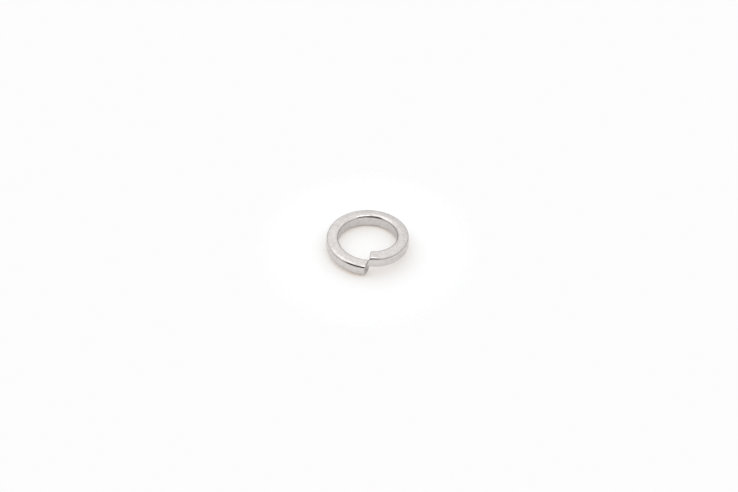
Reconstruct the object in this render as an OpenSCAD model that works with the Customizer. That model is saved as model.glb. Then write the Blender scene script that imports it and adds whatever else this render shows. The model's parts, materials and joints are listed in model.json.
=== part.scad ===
// Split spring lock washer for a 12 mm screw: one turn of keystone wire, coiled left-handed and
// sheared through, with its two ends sprung apart along the axis.

/* [Ring] */
// Diameter of the bore
bore_d = 12.2; // [6:0.1:30]
// Radial width of the wire
wire_w = 2.5; // [1.5:0.1:6]
// Height of the wire at the bore, the thick side of the keystone
bore_side_h = 3.5; // [2:0.05:7]
// Height of the wire at the outside, the thin side of the keystone
outer_side_h = 2.6; // [2:0.05:7]
// Radius of the four long edges of the wire
edge_r = 0.8; // [0.1:0.05:0.9]

/* [Spring] */
// Rise along the axis from the lower end to the raised end
rise = 2.35; // [0.4:0.05:6]
// How far the raised end's outside is bent up past that rise
end_bend = 0.35; // [0:0.05:1]
// Length of wire that the bend takes up
bend_reach = 4; // [1:0.5:10]

/* [Slit] */
// Width of the slit at the bore, where it is narrowest
slit_w = 0.05; // [0.05:0.05:2]
// Slant of the lower end's face from the radial direction, in degrees
lower_slant = 22; // [0:0.5:30]
// Slant of the raised end's face from the radial direction, in degrees
raised_slant = 19; // [0:0.5:30]
// Lean of the raised end's face from upright at the outside, in degrees; the bore side is upright
raised_lean = 11; // [0:0.5:15]
// Radius that the shear rolled onto each end, at the bore
bore_roll_r = 0.3; // [0.1:0.05:0.8]
// Radius that it rolled onto the lower end, at the outside
lower_roll_r = 0.25; // [0.1:0.05:1]
// Radius that it rolled onto the raised end, at the outside
raised_roll_r = 0.75; // [0.1:0.05:1.5]

/* [Hidden] */

bore_r = bore_d / 2;
outer_r = bore_r + wire_w;
mid_r = bore_r + wire_w / 2;
// Slope of the upper and lower faces, which fall away from the bore
taper = atan((bore_side_h - outer_side_h) / 2 / wire_w);

// An edge arc stops this many degrees short of its wall, and its tangent then runs on past the
// wall to mid-height, where the turned bore and outside trim it
wall_lead = 12;
arc_steps = 5;
arc_turn = 90 - wall_lead;
// A rolled end curls down through this many degrees before the sheared face begins
roll_turn = 75;
roll_steps = 5;
turn_steps = 96;

// Angle by which a straight cut, slanted from radial at the mean radius, leads its own middle at
// radius r
function slant_lead(r, slant) = asin(mid_r * sin(slant) / r) - slant;

// The slit runs to either side of the -Y direction, and opens outward from its width at the bore
bore_cut_slant = lower_slant + slant_lead(bore_r, lower_slant);
bore_slit_angle = 2 * asin(slit_w / 2 / (bore_r * cos(bore_cut_slant)));
slit_half_angle =
    (bore_slit_angle + slant_lead(bore_r, lower_slant) - slant_lead(bore_r, raised_slant)) / 2;
sweep_angle = 360 - 2 * slit_half_angle;
start_angle = -90 - slit_half_angle;
round_fn = 180;
trim_margin = 1;

// Height of the upper face above mid-section at radius r, before its edges are rounded
function face_height(r) = bore_side_h / 2 - (r - bore_r) * tan(taper);

// Height of the centre of an edge arc whose centre lies at radius r
function arc_height(r) = face_height(r) - edge_r / cos(taper);

// Point of the edge arc centred at radius r, where its normal points at angle a
function arc_point(r, a) = [r + edge_r * cos(a), arc_height(r) + edge_r * sin(a)];

// Point at mid-height where the tangent that leaves an edge arc at p meets its mirror image
function ridge_point(p, side) = [p[0] + side * p[1] * tan(wall_lead), 0];

// Upper two edges of the section, from the outside over the top to the bore
outer_arc = [
    for (i = [0 : arc_steps])
        arc_point(outer_r - edge_r, wall_lead + i * (arc_turn - taper) / arc_steps)
];
bore_arc = [
    for (i = [0 : arc_steps])
        arc_point(bore_r + edge_r, 90 - taper + i * (arc_turn + taper) / arc_steps)
];
upper_half = concat(outer_arc, bore_arc);
outer_ridge = ridge_point(outer_arc[0], 1);
bore_ridge = ridge_point(bore_arc[arc_steps], -1);
lower_half = [
    for (i = [len(upper_half) - 1 : -1 : 0])
        [upper_half[i][0], -upper_half[i][1]]
];
// The outline starts on the upper face and runs over the bore side and back up the outside
section = concat(bore_arc, [bore_ridge], lower_half, [outer_ridge], outer_arc);

// The lowest line of the washer is the lower bore edge, which lies at z = 0
mid_z = arc_height(bore_r + edge_r) + edge_r;
top_z = 2 * mid_z + rise + end_bend;

// Distances from an end, close together over the rolled corner
roll_stations = [
    for (i = [roll_steps : -1 : 0])
        raised_roll_r * (sin(roll_turn) - sin(roll_turn * i / roll_steps))
];
roll_angles = [for (s = roll_stations) s / mid_r * 180 / PI];
roll_angle = roll_angles[roll_steps];
// Angles swept from the lower end, one for each cross-section
stations = concat(
    roll_angles,
    [for (i = [1 : turn_steps]) roll_angle + (sweep_angle - 2 * roll_angle) * i / turn_steps],
    [for (i = [1 : roll_steps]) sweep_angle - roll_angles[roll_steps - i]]
);

// Share of the wire's width at which radius r lies: 0 at the bore and 1 at the outside
function width_share(r) = max(0, min(1, (r - bore_r) / wire_w));

// Depth to which a corner has rolled at radius r and distance s from its end, where the rolled
// radius at the outside is q
function roll_depth(q, r, s) =
    let (radius = bore_roll_r + (q - bore_roll_r) * width_share(r))
    radius * (1 - cos(asin(max(0, sin(roll_turn) - s / radius))));

// Height by which the raised end is bent up at radius r and distance s from it: the bend twists
// the wire's outside up and leaves its bore side level
function bend_height(r, s) = end_bend * width_share(r) * pow(max(0, 1 - s / bend_reach), 2);

// Height above mid-section of section point p, at swept angle a: the raised end's top is rolled
// down and the lower end's bottom is rolled up, and mid-height follows half of each
function rolled_height(p, a) =
    let (top_share = (1 + sign(p[1])) / 2)
    p[1] - top_share * roll_depth(raised_roll_r, p[0], (sweep_angle - a) * PI / 180 * mid_r)
        + (1 - top_share) * roll_depth(lower_roll_r, p[0], a * PI / 180 * mid_r);

// Angle by which section point p leads at swept angle a: the cross-sections slant and lean like
// the two faces of the slit, and change evenly from one to the other
function lead_angle(p, a) =
    let (t = a / sweep_angle)
    slant_lead(p[0], lower_slant + (raised_slant - lower_slant) * t)
        + t * width_share(p[0]) * (p[1] + mid_z) * tan(raised_lean) / p[0] * 180 / PI;

// Section point p carried along the helix to swept angle a, clockwise seen from above
function helix_point(p, a) =
    let (lead = lead_angle(p, a))
    let (angle = start_angle - a + lead)
    let (bend = bend_height(p[0], (sweep_angle - a) * PI / 180 * mid_r))
    [
        p[0] * cos(angle),
        p[0] * sin(angle),
        mid_z + rise * (a - lead) / sweep_angle + rolled_height(p, a) + bend
    ];

// One turn of keystone wire, with walls that stand proud of the bore and the outside
module coiled_wire() {
    n = len(section);
    last = len(stations) - 1;
    points = [
        for (a = stations)
            for (p = section)
                helix_point(p, a)
    ];
    skin = [
        for (i = [0 : last - 1])
            for (j = [0 : n - 1])
                let (k = (j + 1) % n)
                let (here = i * n)
                let (next = here + n)
                each [[here + j, next + k, here + k], [here + j, next + j, next + k]]
    ];
    // Each sheared face is a fan round its own middle, because the raised one is twisted
    middles = [for (a = [stations[0], stations[last]]) helix_point([mid_r, 0], a)];
    lower_middle = len(points);
    raised_middle = lower_middle + 1;
    lower_face = [for (j = [0 : n - 1]) [lower_middle, j, (j + 1) % n]];
    raised_face = [for (j = [0 : n - 1]) [raised_middle, last * n + (j + 1) % n, last * n + j]];
    polyhedron(concat(points, middles), concat(skin, lower_face, raised_face), convexity = 6);
}

// Cylinder that reaches past both ends of the coil
module trim_cylinder(r) {
    translate([0, 0, -trim_margin])
        cylinder(r = r, h = top_z + 2 * trim_margin, $fn = round_fn);
}

// The finished washer: a true round bore and outside, and rounded edges between
module washer() {
    color([0.80, 0.79, 0.77])
        difference() {
            intersection() {
                coiled_wire();
                trim_cylinder(outer_r);
            }
            trim_cylinder(bore_r);
        }
}

washer();
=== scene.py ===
"""A split spring lock washer of bright drawn steel, resting on a pale studio floor."""
import json
import math

import bpy
import numpy as np
from bpy.props import FloatProperty, FloatVectorProperty, IntProperty, PointerProperty
from mathutils import Matrix, Vector


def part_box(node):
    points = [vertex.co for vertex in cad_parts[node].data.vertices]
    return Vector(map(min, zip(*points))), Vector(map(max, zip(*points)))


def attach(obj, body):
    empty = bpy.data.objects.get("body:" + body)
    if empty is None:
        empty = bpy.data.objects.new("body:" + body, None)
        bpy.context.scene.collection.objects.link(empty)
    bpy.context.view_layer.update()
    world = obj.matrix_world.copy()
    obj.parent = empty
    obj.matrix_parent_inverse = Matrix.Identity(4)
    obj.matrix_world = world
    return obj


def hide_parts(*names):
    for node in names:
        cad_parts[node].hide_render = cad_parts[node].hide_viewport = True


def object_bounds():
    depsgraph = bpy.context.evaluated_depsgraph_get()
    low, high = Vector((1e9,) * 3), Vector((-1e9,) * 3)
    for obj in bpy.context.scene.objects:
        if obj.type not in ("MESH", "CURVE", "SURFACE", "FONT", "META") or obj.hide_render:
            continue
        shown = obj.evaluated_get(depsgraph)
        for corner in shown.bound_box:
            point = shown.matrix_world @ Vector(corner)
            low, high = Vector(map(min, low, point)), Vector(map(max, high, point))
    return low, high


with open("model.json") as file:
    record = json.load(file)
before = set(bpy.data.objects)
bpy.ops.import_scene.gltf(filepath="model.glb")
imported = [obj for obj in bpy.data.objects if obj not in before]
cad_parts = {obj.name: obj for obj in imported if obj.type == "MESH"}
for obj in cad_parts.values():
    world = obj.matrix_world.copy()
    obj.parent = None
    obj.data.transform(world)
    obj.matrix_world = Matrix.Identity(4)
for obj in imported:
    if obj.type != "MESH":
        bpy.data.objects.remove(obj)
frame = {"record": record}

bl_info = {
    "name": "Spring Lock Washer",
    "version": (1, 0, 0),
    "blender": (4, 5, 0),
    "location": "View3D > Sidebar > Washer",
    "description": "Winds a split spring lock washer and lights it on a studio floor",
    "category": "Object",
}

NODE = "washer"
BODY = "root"

# Millimetres in a metre
MM = 1000.0

CAD_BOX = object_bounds()
NODE_LOW, NODE_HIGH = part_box(NODE)
MOUNTS = {mount["name"]: mount for mount in frame["record"]["mounts"]}
BORE_RADIUS = MOUNTS["bore"]["dims"]["r_mm"] / MM
OUTER_RADIUS = min(NODE_HIGH.x, NODE_HIGH.y, -NODE_LOW.x, -NODE_LOW.y)

# Share of its height that the wire keeps, so its round edges stay inside the solid's facets
SNUG = 0.996
# A rolled end curls down through this angle before the sheared face begins
ROLL_TURN = math.radians(75)
# The rim of a sheared face curls through a quarter turn
RIM_TURN = math.pi / 2

# How often the wire's lines and scratches change in each millimetre along it and round it
LINE_STRETCH = (0.3, 3.6, 1.0)
SCRATCH_STRETCH = (1.2, 70.0, 1.0)
# How often its dents, dull patches and dull mottle change in each metre
WAVE_SCALE = 260.0
PATCH_SCALE = 420.0
MOTTLE_SCALE = 1500.0
# Shares of the patches, the mottle and the lines in how dull the wire is
PATCH_SHARE = 0.3
MOTTLE_SHARE = 0.4
LINE_SHARE = 0.3
# Depths of its relief, in metres
WAVE_DEPTH = 0.00003
MOTTLE_DEPTH = 0.000004
LINE_DEPTH = 0.000004
SCRATCH_DEPTH = 0.0000008
# By how much its brightest parts are smoother than the finish's roughness, and its dullest rougher
BRIGHT_LESS = 0.05
DULL_MORE = 0.07

# How often the shear's streaks change in each millimetre across the face and up it, and its
# lumps and grain in each metre
STREAK_STRETCH = (24.0, 1.5, 1.0)
LUMP_SCALE = 2200.0
GRAIN_SCALE = 9000.0
# Depths of that relief, in metres
LUMP_DEPTH = 0.00003
GRAIN_DEPTH = 0.000012
# The burnished part is rougher than the drawn wire by this much
BURNISHED_MORE = 0.1

# What the camera sees of the open floor, and the light that falls on it
FLOOR_WHITE = 0.98
FLOOR_LIGHT = 1.0
# The floor reaches past its paper's soft edge by this factor
FLOOR_REACH = 1.1
# Half the width of the soft edges in the room's light: in radians of turn, and as the sine of
# the height above the floor's horizon
SOFT_TURN = 0.2
SOFT_RISE = 0.07
# Between these sines of height the room brightens upwards
ROOM_LOW = 0.1
ROOM_HIGH = 0.7
# Between this far to the left and to the right, again as a sine, it dims rightwards
ROOM_SIDE = 0.6
# The ground's light changes into the room's from this sine of height below the horizon
GROUND_EDGE = 0.1
# The camera sees from its distance to the washer over this number to that distance times it
CLIP_RANGE = 100


# ------------------------------------------------------------------ sizes and colours


def length(name, description, default):
    """A length property in metres."""
    return FloatProperty(name=name, description=description, default=default, min=0,
                         subtype="DISTANCE", unit="LENGTH", precision=5)


def angle(name, description, degrees):
    """An angle property, with its default in degrees."""
    return FloatProperty(name=name, description=description, default=math.radians(degrees),
                         subtype="ANGLE", unit="ROTATION")


def colour(name, description, default):
    """A colour property."""
    return FloatVectorProperty(name=name, description=description, default=default, size=3,
                               min=0, max=1, subtype="COLOR")


def factor(name, description, default, most=1):
    """A plain number property from 0 up."""
    return FloatProperty(name=name, description=description, default=default, min=0, max=most)


def count(name, description, default):
    """A property that counts steps."""
    return IntProperty(name=name, description=description, default=default, min=2)


class WasherSizes(bpy.types.PropertyGroup):
    """Sizes of the coiled wire."""

    bore_radius: length("Bore radius", "Radius of the round hole", BORE_RADIUS)
    outer_radius: length("Outer radius", "Radius of the outside", OUTER_RADIUS)
    bore_side_height: length("Height at the bore", "Height of the wire's thick side", 0.0035)
    outer_side_height: length("Height outside", "Height of the wire's thin side", 0.0026)
    edge_radius: length("Edge radius", "Radius of the wire's four long edges", 0.0008)
    rise: length("Rise", "Climb from the lower end to the raised end", 0.00235)
    end_bend: length("End bend", "How far the raised end's outside is bent up", 0.00035)
    bend_reach: length("Bend reach", "Length of wire that the bend takes up", 0.004)
    slit_width: length("Slit width", "Width of the slit at the bore", 0.00005)
    lower_slant: angle("Lower slant", "Angle of the lower end's face from radial", 22)
    raised_slant: angle("Raised slant", "Angle of the raised end's face from radial", 19)
    raised_lean: angle("Raised lean", "Angle of the raised face's outside from upright", 11)
    bore_roll: length("Roll at the bore", "Radius rolled onto each end, at the bore", 0.0003)
    lower_roll: length("Lower roll", "Radius rolled onto the lower end, outside", 0.00025)
    raised_roll: length("Raised roll", "Radius rolled onto the raised end, outside", 0.00075)
    rim_radius: length("Rim radius", "Tumbled radius round each sheared face", 0.00005)
    turn_steps: count("Steps round", "Cross-sections along the wire", 540)
    arc_steps: count("Steps per edge", "Facets across each rounded edge", 12)
    side_steps: count("Steps per side", "Facets across each flat side of the wire", 10)
    cap_steps: count("Steps per end", "Rings of facets on each sheared face", 8)


class SteelFinish(bpy.types.PropertyGroup):
    """Colours and gloss of the steel."""

    steel: colour("Steel", "Colour of the drawn wire", (0.75, 0.718, 0.698))
    dull: colour("Dull steel", "Colour of the wire's duller patches", (0.59, 0.564, 0.548))
    torn: colour("Torn face", "Colour of the torn part of the ends", (0.57, 0.55, 0.53))
    burnished: colour("Burnished face", "Colour of the smeared part", (0.66, 0.637, 0.614))
    steel_roughness: factor("Steel roughness", "Roughness of the drawn wire", 0.115)
    torn_roughness: factor("Torn roughness", "Roughness of the torn face", 0.52)


class StageSettings(bpy.types.PropertyGroup):
    """The floor, the light and the camera."""

    paper_radius: length("Paper radius", "Radius at which the sheet of paper starts to end", 0.016)
    paper_fade: length("Paper fade", "Width of the paper's soft edge", 0.008)
    paper: colour("Paper", "Colour of the floor's paper", (0.92, 0.915, 0.91))
    shadow: colour("Shadow share", "How much of each colour the floor's shadows take away",
                   (0.58, 0.67, 0.75))
    room_light: factor("Room light", "Brightness of the white room", 1.11, 4)
    low_light: factor("Low light", "Brightness of the room at the horizon", 0.93, 4)
    right_share: factor("Right share", "Brightness of the room's right against its left", 0.96)
    ground_light: factor("Ground light", "Brightness of the ground past the paper", 0.55, 4)
    opening_light: factor("Opening light", "Brightness of the room's dark opening", 0.03, 4)
    opening_left: angle("Opening left", "Left side of the dark opening", -55)
    opening_right: angle("Opening right", "Right side of the dark opening", 37)
    opening_top: angle("Opening top", "Top of the dark opening", 42)
    opening_bottom: angle("Opening bottom", "Bottom of the dark opening", 3)
    band_left: angle("Band left", "Left end of the dim band beside the opening", -83)
    band_right: angle("Band right", "Right end of the dim band", 70)
    band_top: angle("Band top", "Top of the dim band", 10.5)
    band_share: factor("Band share", "How dark the dim band is", 0.61)
    box_distance: length("Softbox distance", "From the floor to each softbox", 0.5)
    right_light: factor("Right softbox", "Brightness of the right softbox", 0.9, 10)
    right_size: length("Right size", "Diameter of the right softbox", 0.35)
    right_lean: angle("Right lean", "Angle of the right softbox from overhead", 36)
    right_turn: angle("Right turn", "Turn of the right softbox from the camera's side", 24)
    left_light: factor("Left softbox", "Brightness of the left softbox", 0.36, 10)
    left_size: length("Left size", "Diameter of the left softbox", 0.47)
    left_lean: angle("Left lean", "Angle of the left softbox from overhead", 32)
    left_turn: angle("Left turn", "Turn of the left softbox from the camera's side", -92)
    camera_azimuth: angle("Camera azimuth", "Turn of the camera from the slit to +X", 0)
    camera_elevation: angle("Camera elevation", "Angle of the camera above the floor", 46)
    camera_distance: length("Camera distance", "From the camera to the washer", 0.6)
    camera_lens: FloatProperty(name="Lens", description="Focal length in millimetres",
                               default=140.4, min=10)
    aim_right: length("Aim right", "How far right of the washer the camera aims", 0.0003)
    aim_down: length("Aim down", "How far below the washer the camera aims", 0.00122)


# ------------------------------------------------------------------ shape of the wire


def keystone_outline(size):
    """The wire's cross-section, one row for each point: radius, height above the middle, and
    the angle of its outward normal.

    Two upright walls are joined by two faces that fall away from the bore at the taper angle.
    Each corner is an arc whose centre lies one edge radius inside its wall and its face. The
    outline runs from the middle of the outer wall over the top to the middle of the bore wall,
    and its lower half is its upper half turned upside down.
    """
    width = size.outer_radius - size.bore_radius
    taper = math.atan((size.bore_side_height - size.outer_side_height) / 2 / width)
    face_angle = math.pi / 2 - taper

    def edge(centre, first, last):
        normal = np.linspace(first, last, size.arc_steps + 1)
        height = (size.bore_side_height / 2 - (centre - size.bore_radius) * math.tan(taper)
                  - size.edge_radius / math.cos(taper))
        return np.stack([centre + size.edge_radius * np.cos(normal),
                         height + size.edge_radius * np.sin(normal), normal], axis=1)

    outer_edge = edge(size.outer_radius - size.edge_radius, 0, face_angle)
    bore_edge = edge(size.bore_radius + size.edge_radius, face_angle, math.pi)
    across = np.linspace(0, 1, size.side_steps + 1)[1:-1, None]
    face = outer_edge[-1] * (1 - across) + bore_edge[0] * across
    climb = np.linspace(0, 1, size.side_steps // 2 + 1)[:-1, None]
    climb = np.hstack([np.ones_like(climb), climb, np.ones_like(climb)])
    outer_wall = outer_edge[0] * climb
    bore_wall = bore_edge[-1] * climb[::-1]
    upper = np.concatenate([outer_wall, outer_edge, face, bore_edge, bore_wall])
    lower = upper[-2:0:-1] * [1, -1, -1]
    return np.concatenate([upper, lower])


def middle_radius(size):
    """The mean of the bore's radius and the outside's."""
    return (size.bore_radius + size.outer_radius) / 2


def curl_depth(radius, distance, turn):
    """How far a corner of that radius has curled down at a distance from its end.

    The corner is an arc that turns through the given angle and stops at the end: at a distance d
    it has turned through the angle whose sine is the sine of the full turn less d over the
    radius, and it has dropped by the radius times one less the cosine of that angle.
    """
    turned = np.arcsin(np.clip(math.sin(turn) - distance / radius, 0, 1))
    return radius * (1 - np.cos(turned))


def slant_lead(size, radius, slant):
    """The angle by which a straight cut, slanted from radial at the mean radius, leads its own
    middle at another radius: the angle whose sine is the mean radius times the sine of the slant
    over that radius, less the slant."""
    return np.arcsin(middle_radius(size) * np.sin(slant) / radius) - slant


def half_slit_angle(size):
    """Half the angle between the two ends at the mean radius.

    The slit is narrowest at the bore, where its width is measured across the lower end's face.
    From there to the mean radius it widens by the difference of the two faces' leads.
    """
    lower_lead = slant_lead(size, size.bore_radius, size.lower_slant)
    raised_lead = slant_lead(size, size.bore_radius, size.raised_slant)
    across_slit = size.bore_radius * math.cos(size.lower_slant + lower_lead)
    return math.asin(size.slit_width / 2 / across_slit) + (lower_lead - raised_lead) / 2


def swept_stations(size, sweep):
    """Angles swept from the lower end: evenly spaced round the turn, and close together where
    the ends curl, at equal steps of the angle through which their corners have turned."""
    turned = np.linspace(0, 1, size.arc_steps + 1)
    roll = size.raised_roll * (math.sin(ROLL_TURN) - np.sin(ROLL_TURN * turned))
    rim = size.rim_radius * (1 - np.sin(RIM_TURN * turned))
    near = np.unique(np.concatenate([roll, rim])) / middle_radius(size)
    steps = np.linspace(near[-1], sweep - near[-1], size.turn_steps + 1)[1:-1]
    return np.concatenate([near, steps, sweep - near[::-1]])


def rolled_drop(size, heights, across, to_lower, to_raised):
    """How far the shear's curl has lowered each point, where below 0 is raised.

    It lowers the outline's top at the raised end and raises its bottom at the lower end, and
    along the walls between top and bottom it fades evenly to nothing. The rolled radius changes
    evenly across the width, from the bore's to the end's own.
    """
    raised_roll = size.bore_roll + (size.raised_roll - size.bore_roll) * across
    lower_roll = size.bore_roll + (size.lower_roll - size.bore_roll) * across
    wall_top = heights[size.side_steps // 2]
    top_share = np.clip(heights / wall_top, -1, 1) / 2 + 0.5
    return (top_share * curl_depth(raised_roll, to_raised, ROLL_TURN)
            - (1 - top_share) * curl_depth(lower_roll, to_lower, ROLL_TURN))


def wire_points(size):
    """Points of the coiled wire, as a grid of stations by outline points, with the distance
    along the wire and round its outline for each row and column.

    A point of the outline at radius r, carried through the swept angle a, lies at that angle
    less its lead, clockwise from the slit. The lead slants and leans every cross-section like
    the faces of the slit, which changes evenly from the lower end's to the raised end's along
    the wire. The bore side doesn't lean, and from there the lean grows evenly to the outside.
    The height is the rise times the share of the sweep, plus the height in the outline. Within
    the bend's reach of the raised end it is higher by the bend times the share of the width,
    which is 0 at the bore and 1 outside, times the square of one less the share of that reach.
    Close to an end the outline shrinks by the rim's curl, and the shear's curl drops its top or
    raises its bottom.
    """
    outline = keystone_outline(size)
    heights = outline[:, 1]
    normals = outline[:, 2]
    half_slit = half_slit_angle(size)
    sweep = 2 * math.pi - 2 * half_slit
    stations = swept_stations(size, sweep)
    swept = stations[:, None]
    to_lower = swept * middle_radius(size)
    to_raised = (sweep - swept) * middle_radius(size)

    inset = curl_depth(size.rim_radius, np.minimum(to_lower, to_raised), RIM_TURN)
    radius = outline[:, 0] - inset * np.cos(normals)
    height = heights - inset * np.sin(normals)
    across = np.clip((radius - size.bore_radius) / (size.outer_radius - size.bore_radius), 0, 1)
    drop = rolled_drop(size, heights, across, to_lower, to_raised)

    level = heights.max()
    along = swept / sweep
    slant = size.lower_slant + (size.raised_slant - size.lower_slant) * along
    lean = (heights + level) * math.tan(size.raised_lean) * across / radius
    lead = slant_lead(size, radius, slant) + lean * along
    turned = -math.pi / 2 - half_slit - swept + lead
    bend = size.end_bend * across * np.clip(1 - to_raised / size.bend_reach, 0, 1) ** 2
    lift = level + size.rise * (swept - lead) / sweep + height - drop + bend
    lift = NODE_LOW.z + (lift - lift.min()) * SNUG
    grid = np.stack([radius * np.cos(turned), radius * np.sin(turned), lift], axis=2)
    closed = np.vstack([outline, outline[:1]])
    steps = np.hypot(np.diff(closed[:, 0]), np.diff(closed[:, 1]))
    return grid, stations * middle_radius(size), np.concatenate([[0], np.cumsum(steps)])


def end_rings(loop, steps):
    """Rings of a sheared face: the outline drawn in towards its centre in equal steps, and the
    centre itself as the last point."""
    centre = loop.mean(axis=0)
    share = (np.arange(1, steps) / steps)[:, None, None]
    rings = loop + (centre - loop) * share
    return np.concatenate([rings.reshape(-1, 3), centre[None]])


def band_faces(first, second):
    """Quads between two rings of point numbers, each quad running along the first ring."""
    return np.stack([first, np.roll(first, -1), np.roll(second, -1), second], axis=1)


def wire_mesh(size):
    """Mesh of the washer, with one material for the drawn skin and one for the sheared faces.

    The skin is a band of quads between each two stations. A sheared face is bands of quads
    between its rings and a fan of triangles round its centre, and the lower end's are turned
    over so that they face outwards.
    """
    grid, along, around = wire_points(size)
    rows, columns = grid.shape[:2]
    numbers = np.arange(rows * columns).reshape(rows, columns)
    points = [grid.reshape(-1, 3)]
    quads = [band_faces(numbers[i], numbers[i + 1]) for i in range(rows - 1)]
    fans = []
    start = rows * columns
    for row, turn_over in ((0, True), (rows - 1, False)):
        inner = end_rings(grid[row], size.cap_steps)
        rings = np.arange(start, start + inner.shape[0] - 1).reshape(-1, columns)
        rings = np.vstack([numbers[row], rings])
        centre = np.full(columns, start + inner.shape[0] - 1)
        for outer, nearer in zip(rings[:-1], rings[1:]):
            band = band_faces(outer, nearer)
            quads.append(band[:, ::-1] if turn_over else band)
        fan = np.stack([rings[-1], np.roll(rings[-1], -1), centre], axis=1)
        fans.append(fan[:, ::-1] if turn_over else fan)
        points.append(inner)
        start += inner.shape[0]
    points = np.concatenate(points)
    quads = np.concatenate(quads)
    fans = np.concatenate(fans)

    mesh = bpy.data.meshes.new(NODE + "_wire")
    mesh.from_pydata(points.tolist(), [], quads.tolist() + fans.tolist())
    skin = (rows - 1) * columns
    slots = np.ones(len(mesh.polygons), dtype=np.int32)
    slots[:skin] = 0
    mesh.polygons.foreach_set("material_index", slots)
    mesh.polygons.foreach_set("use_smooth", np.ones(len(mesh.polygons), dtype=bool))
    set_wire_uv(mesh, size, points, along, around, skin)
    mesh.update()
    return mesh


def set_wire_uv(mesh, size, points, along, around, skin):
    """UV in millimetres: along the wire and round its outline on the skin, and the radius less
    the mean radius and the height on the sheared ends."""
    loops = np.zeros(len(mesh.loops), dtype=np.int32)
    mesh.loops.foreach_get("vertex_index", loops)
    radius = np.hypot(points[:, 0], points[:, 1])
    uv = np.stack([radius[loops] - middle_radius(size), points[loops, 2]], axis=1)
    rows = along.size - 1
    columns = around.size - 1
    corner_row = np.array([0, 0, 1, 1])
    corner_column = np.array([0, 1, 1, 0])
    row = np.repeat(np.arange(rows), columns)[:, None] + corner_row
    column = np.tile(np.arange(columns), rows)[:, None] + corner_column
    corners = skin * corner_row.size
    uv[:corners, 0] = along[row].ravel()
    uv[:corners, 1] = around[column].ravel()
    layer = mesh.uv_layers.new(name="wire")
    layer.data.foreach_set("uv", (uv * MM).astype(np.float32).ravel())


# ------------------------------------------------------------------ finishes


class Nodes:
    """Short calls that add nodes to a tree and link them."""

    def __init__(self, owner):
        owner.use_nodes = True
        self.tree = owner.node_tree
        self.tree.nodes.clear()

    def put(self, socket, value):
        """Links a socket to another node's output, or sets its value."""
        if isinstance(value, bpy.types.NodeSocket):
            self.tree.links.new(value, socket)
        elif isinstance(value, bpy.types.Node):
            self.tree.links.new(value.outputs[0], socket)
        elif hasattr(value, "__len__") and len(value) == 3 and socket.type == "RGBA":
            socket.default_value = (*value, 1)
        else:
            socket.default_value = value

    def add(self, kind, inputs=None, **settings):
        """Adds a node, sets its own settings, and fills its input sockets by name or number."""
        made = self.tree.nodes.new(kind)
        for name, value in settings.items():
            setattr(made, name, value)
        for name, value in (inputs or {}).items():
            self.put(made.inputs[name], value)
        return made

    def math(self, operation, first, second):
        """One step of arithmetic."""
        return self.add("ShaderNodeMath", {0: first, 1: second}, operation=operation)

    def vector(self, operation, first, second):
        """One step of vector arithmetic."""
        return self.add("ShaderNodeVectorMath", {0: first, 1: second}, operation=operation)

    def ramp(self, value, low, high, low_to=0.0, high_to=1.0):
        """Smoothly carries the stretch from low to high onto another, and holds past its ends."""
        return self.add("ShaderNodeMapRange",
                        {"Value": value, "From Min": low, "From Max": high,
                         "To Min": low_to, "To Max": high_to},
                        interpolation_type="SMOOTHSTEP")

    def noise(self, vector, scale, detail=2.0, roughness=0.5):
        """Noise between about 0 and 1."""
        return self.add("ShaderNodeTexNoise",
                        {"Vector": vector, "Scale": scale, "Detail": detail,
                         "Roughness": roughness})

    def mix(self, share, first, second):
        """A blend of two colours. The node's inputs 6 and 7 are its colours, and its output 2 is
        their blend."""
        made = self.add("ShaderNodeMix", data_type="RGBA")
        self.put(made.inputs["Factor"], share)
        self.put(made.inputs[6], first)
        self.put(made.inputs[7], second)
        return made.outputs[2]

    def bump(self, height, distance, strength, normal=None):
        """Bump of that depth in metres."""
        inputs = {"Height": height, "Distance": distance, "Strength": strength}
        if normal is not None:
            inputs["Normal"] = normal
        return self.add("ShaderNodeBump", inputs)


def drawn_steel(finish):
    """Bright drawn wire: fine lines along the wire from the die, soft dents from tumbling, and
    patches that are a little duller and rougher."""
    material = bpy.data.materials.new("drawn_steel")
    n = Nodes(material)
    uv = n.add("ShaderNodeUVMap", uv_map="wire")
    place = n.add("ShaderNodeTexCoord").outputs["Object"]
    lines = n.noise(n.vector("MULTIPLY", uv, LINE_STRETCH), scale=1.0, detail=4.0,
                    roughness=0.7)
    scratches = n.noise(n.vector("MULTIPLY", uv, SCRATCH_STRETCH), scale=1.0)
    patches = n.noise(place, PATCH_SCALE)
    mottle = n.noise(place, MOTTLE_SCALE, roughness=0.6)
    waves = n.noise(place, WAVE_SCALE, detail=1.0)
    patchy = n.math("MULTIPLY", n.ramp(patches, low=0.35, high=0.7), PATCH_SHARE)
    speckled = n.math("MULTIPLY", n.ramp(mottle, low=0.35, high=0.65), MOTTLE_SHARE)
    worn = n.math("ADD", patchy, speckled)
    shade = n.math("ADD", worn,
                   n.math("MULTIPLY", n.ramp(lines, low=0.38, high=0.62), LINE_SHARE))
    rough = n.ramp(shade, low=0.0, high=1.0, low_to=finish.steel_roughness - BRIGHT_LESS,
                   high_to=finish.steel_roughness + DULL_MORE)
    wavy = n.bump(waves, WAVE_DEPTH, strength=0.5)
    mottled = n.bump(mottle, MOTTLE_DEPTH, strength=0.6, normal=wavy)
    lined = n.bump(lines, LINE_DEPTH, strength=0.6, normal=mottled)
    scratched = n.bump(scratches, SCRATCH_DEPTH, strength=0.5, normal=lined)
    steel = n.add("ShaderNodeBsdfPrincipled",
                  {"Base Color": n.mix(shade, finish.steel, finish.dull), "Metallic": 1.0,
                   "Roughness": rough, "Normal": scratched})
    n.add("ShaderNodeOutputMaterial", {"Surface": steel})
    return material


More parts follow.
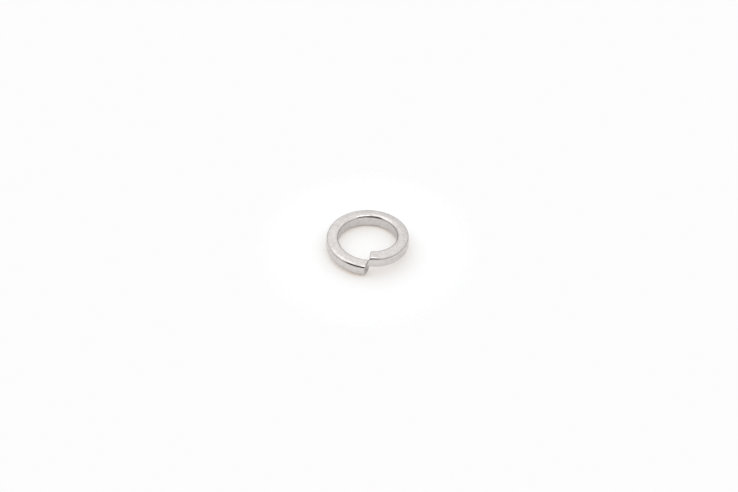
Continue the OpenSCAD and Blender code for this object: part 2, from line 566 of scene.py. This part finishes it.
def sheared_steel(finish):
    """The ends as the shear left them: smeared, burnished patches with upright streaks, and
    torn, grainy ones."""
    material = bpy.data.materials.new("sheared_steel")
    n = Nodes(material)
    uv = n.add("ShaderNodeUVMap", uv_map="wire")
    place = n.add("ShaderNodeTexCoord").outputs["Object"]
    grain = n.noise(place, GRAIN_SCALE, detail=4.0, roughness=0.7)
    lumps = n.noise(place, LUMP_SCALE)
    streaks = n.noise(n.vector("MULTIPLY", uv, STREAK_STRETCH), scale=1.0)
    torn = n.ramp(lumps, low=0.38, high=0.55)
    smooth = n.mix(streaks, finish.burnished, finish.torn)
    rough = n.ramp(torn, low=0.0, high=1.0, low_to=finish.steel_roughness + BURNISHED_MORE,
                   high_to=finish.torn_roughness)
    lumpy = n.bump(lumps, LUMP_DEPTH, strength=0.5)
    grainy = n.bump(grain, GRAIN_DEPTH, strength=0.7, normal=lumpy)
    face = n.add("ShaderNodeBsdfPrincipled",
                 {"Base Color": n.mix(torn, smooth, finish.torn), "Metallic": 1.0,
                  "Roughness": rough, "Normal": grainy})
    n.add("ShaderNodeOutputMaterial", {"Surface": face})
    return material


# ------------------------------------------------------------------ stage


def rest_plane(size):
    """The plane that the washer rests on, as its unit normal and its height at the bore's axis.

    The lower end and the far side of the ring touch it. The far side is half the rise higher, so
    across the bore's edge circle the plane climbs by a quarter of the rise in each radius, and
    along the wire, where it is tangent to the helix, by the rise over the circle's length. It is
    then set against the lowest point measured along its normal.
    """
    grid = wire_points(size)[0].reshape(-1, 3)
    circle = size.bore_radius + size.edge_radius
    slope_x = size.rise / (2 * math.pi * circle)
    slope_y = size.rise / (4 * circle)
    height = (grid[:, 2] - slope_x * grid[:, 0] - slope_y * grid[:, 1]).min()
    return Vector((-slope_x, -slope_y, 1)).normalized(), height


def floor_matrix(up, height):
    """Placement of the stage: its Z along the floor's normal, and its Y level and away from the
    slit."""
    x = Vector((0, 1, 0)).cross(up).normalized()
    y = up.cross(x)
    turn = Matrix((x, y, up)).transposed().to_4x4()
    return Matrix.Translation((0, 0, height)) @ turn


def floor_material(stage):
    """White paper with a soft edge. The camera sees it lit to just under white, with its shadows
    lightened and warmed, and sees through it from beneath."""
    material = bpy.data.materials.new("floor_paper")
    n = Nodes(material)
    camera = n.add("ShaderNodeLightPath").outputs["Is Camera Ray"]
    paper = n.add("ShaderNodeBsdfDiffuse", {"Color": n.mix(camera, stage.paper, stage.shadow)})
    lift = [FLOOR_WHITE - share * FLOOR_LIGHT for share in stage.shadow]
    glow = n.add("ShaderNodeEmission", {"Color": lift, "Strength": camera})
    seen = n.add("ShaderNodeAddShader", {0: paper, 1: glow})
    place = n.add("ShaderNodeTexCoord").outputs["Object"]
    reach = n.add("ShaderNodeVectorMath", {0: place}, operation="LENGTH").outputs["Value"]
    past = n.ramp(reach, stage.paper_radius, stage.paper_radius + stage.paper_fade)
    under = n.add("ShaderNodeNewGeometry").outputs["Backfacing"]
    clear = n.add("ShaderNodeBsdfTransparent")
    n.add("ShaderNodeOutputMaterial",
          {"Surface": n.add("ShaderNodeMixShader",
                            {0: n.math("MAXIMUM", under, past), 1: seen, 2: clear})})
    return material


def white_room(stage, placement):
    """White surroundings that dim a little towards the horizon and the right, with a dark
    opening in front for the camera and a low dim band to its left and right. The camera itself
    sees plain white."""
    world = bpy.data.worlds.new("white_room")
    bpy.context.scene.world = world
    n = Nodes(world)
    ray = n.add("ShaderNodeTexCoord").outputs["Generated"]
    axes = placement.to_3x3().transposed()
    forward = n.vector("DOT_PRODUCT", ray, -axes[1]).outputs["Value"]
    right = n.vector("DOT_PRODUCT", ray, axes[0]).outputs["Value"]
    rise = n.vector("DOT_PRODUCT", ray, axes[2]).outputs["Value"]
    turn = n.math("ARCTAN2", right, forward)

    def patch(left, to_right, bottom, top):
        """Share of a soft-edged patch between two turns and between two heights."""
        low = math.sin(bottom)
        high = math.sin(top)
        across = n.math("MULTIPLY", n.ramp(turn, left - SOFT_TURN, left + SOFT_TURN),
                        n.ramp(turn, to_right - SOFT_TURN, to_right + SOFT_TURN, 1.0, 0.0))
        upright = n.math("MULTIPLY", n.ramp(rise, low - SOFT_RISE, low + SOFT_RISE),
                         n.ramp(rise, high - SOFT_RISE, high + SOFT_RISE, 1.0, 0.0))
        return n.math("MULTIPLY", across, upright)

    opening = patch(stage.opening_left, stage.opening_right, stage.opening_bottom,
                    stage.opening_top)
    band = n.math("MULTIPLY", patch(stage.band_left, stage.band_right, 0, stage.band_top),
                  stage.band_share)
    above = n.math("MULTIPLY",
                   n.ramp(rise, ROOM_LOW, ROOM_HIGH, stage.low_light, stage.room_light),
                   n.ramp(right, -ROOM_SIDE, ROOM_SIDE, 1.0, stage.right_share))
    raised = n.ramp(rise, -GROUND_EDGE, 0.0)
    room = n.add("ShaderNodeMix", {"Factor": raised, "A": stage.ground_light, "B": above})
    light = n.add("ShaderNodeMix", {"Factor": n.math("MAXIMUM", opening, band), "A": room,
                                    "B": stage.opening_light})
    camera = n.add("ShaderNodeLightPath").outputs["Is Camera Ray"]
    strength = n.add("ShaderNodeMix", {"Factor": camera, "A": light, "B": FLOOR_WHITE})
    backdrop = n.add("ShaderNodeBackground", {"Color": (1, 1, 1), "Strength": strength})
    n.add("ShaderNodeOutputWorld", {"Surface": backdrop})


def add_camera(stage, placement):
    """The camera, level with the floor's horizon, at its angles above and round the washer."""
    data = bpy.data.cameras.new("camera")
    data.lens = stage.camera_lens
    data.clip_start = stage.camera_distance / CLIP_RANGE
    data.clip_end = stage.camera_distance * CLIP_RANGE
    camera = bpy.data.objects.new("camera", data)
    level = math.cos(stage.camera_elevation)
    back = Vector((math.sin(stage.camera_azimuth) * level,
                   -math.cos(stage.camera_azimuth) * level, math.sin(stage.camera_elevation)))
    back = placement.to_3x3() @ back
    up = placement.to_3x3() @ Vector((0, 0, 1))
    right = up.cross(back).normalized()
    above = back.cross(right)
    middle = (CAD_BOX[0] + CAD_BOX[1]) / 2
    aim = middle + right * stage.aim_right - above * stage.aim_down
    turn = Matrix((right, above, back)).transposed().to_4x4()
    camera.matrix_world = Matrix.Translation(aim + back * stage.camera_distance) @ turn
    bpy.context.scene.collection.objects.link(camera)
    bpy.context.scene.camera = camera


def add_softbox(name, placement, distance, size, light, lean, turn):
    """A round softbox at that distance, lean from overhead and turn from the camera's side,
    which faces the washer. It gives out its brightness times its area times pi."""
    data = bpy.data.lights.new(name, "AREA")
    data.shape = "DISK"
    data.size = size
    area = math.pi * (size / 2) ** 2
    data.energy = light * math.pi * area
    softbox = bpy.data.objects.new(name, data)
    tilt = Matrix.Rotation(turn, 4, "Z") @ Matrix.Rotation(lean, 4, "X")
    softbox.matrix_world = placement @ tilt @ Matrix.Translation((0, 0, distance))
    bpy.context.scene.collection.objects.link(softbox)


# ------------------------------------------------------------------ operators and panel


class WASHER_OT_wire(bpy.types.Operator):
    """Winds the washer's wire, finishes it and sets it in place of its plain solid"""

    bl_idname = "washer.wire"
    bl_label = "Wind the Washer"

    def execute(self, context):
        size = context.scene.washer_sizes
        finish = context.scene.washer_finish
        washer = bpy.data.objects.new(NODE + "_steel", wire_mesh(size))
        washer.data.materials.append(drawn_steel(finish))
        washer.data.materials.append(sheared_steel(finish))
        context.scene.collection.objects.link(washer)
        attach(washer, BODY)
        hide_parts(NODE)
        return {"FINISHED"}


class WASHER_OT_stage(bpy.types.Operator):
    """Lays the floor under the washer as it rests, and adds the light and the camera"""

    bl_idname = "washer.stage"
    bl_label = "Set the Stage"

    def execute(self, context):
        stage = context.scene.washer_stage
        placement = floor_matrix(*rest_plane(context.scene.washer_sizes))
        half = (stage.paper_radius + stage.paper_fade) * FLOOR_REACH
        mesh = bpy.data.meshes.new("floor")
        corners = [(-half, -half, 0), (half, -half, 0), (half, half, 0), (-half, half, 0)]
        mesh.from_pydata(corners, [], [(0, 1, 2, 3)])
        mesh.transform(placement)
        mesh.materials.append(floor_material(stage))
        floor = bpy.data.objects.new("floor", mesh)
        context.scene.collection.objects.link(floor)
        white_room(stage, placement)
        add_softbox("right_softbox", placement, stage.box_distance, stage.right_size,
                    stage.right_light, stage.right_lean, stage.right_turn)
        add_softbox("left_softbox", placement, stage.box_distance, stage.left_size,
                    stage.left_light, stage.left_lean, stage.left_turn)
        add_camera(stage, placement)
        context.scene.view_settings.view_transform = "Standard"
        return {"FINISHED"}


class WASHER_PT_sidebar(bpy.types.Panel):
    """Lists the washer's steps and sizes"""

    bl_idname = "WASHER_PT_sidebar"
    bl_label = "Spring Lock Washer"
    bl_space_type = "VIEW_3D"
    bl_region_type = "UI"
    bl_category = "Washer"

    def draw(self, context):
        for step in (WASHER_OT_wire, WASHER_OT_stage):
            self.layout.operator(step.bl_idname)
        for group in ("washer_sizes", "washer_finish", "washer_stage"):
            settings = getattr(context.scene, group)
            box = self.layout.box()
            for name in settings.bl_rna.properties.keys():
                if name not in ("rna_type", "name"):
                    box.prop(settings, name)


CLASSES = (WasherSizes, SteelFinish, StageSettings, WASHER_OT_wire, WASHER_OT_stage,
           WASHER_PT_sidebar)


def register():
    for addon_class in CLASSES:
        bpy.utils.register_class(addon_class)
    bpy.types.Scene.washer_sizes = PointerProperty(type=WasherSizes)
    bpy.types.Scene.washer_finish = PointerProperty(type=SteelFinish)
    bpy.types.Scene.washer_stage = PointerProperty(type=StageSettings)


def unregister():
    del bpy.types.Scene.washer_stage
    del bpy.types.Scene.washer_finish
    del bpy.types.Scene.washer_sizes
    for addon_class in reversed(CLASSES):
        bpy.utils.unregister_class(addon_class)


def main():
    """Builds the washer and its stage."""
    register()
    bpy.ops.washer.wire()
    bpy.ops.washer.stage()


if __name__ == "__main__":
    main()
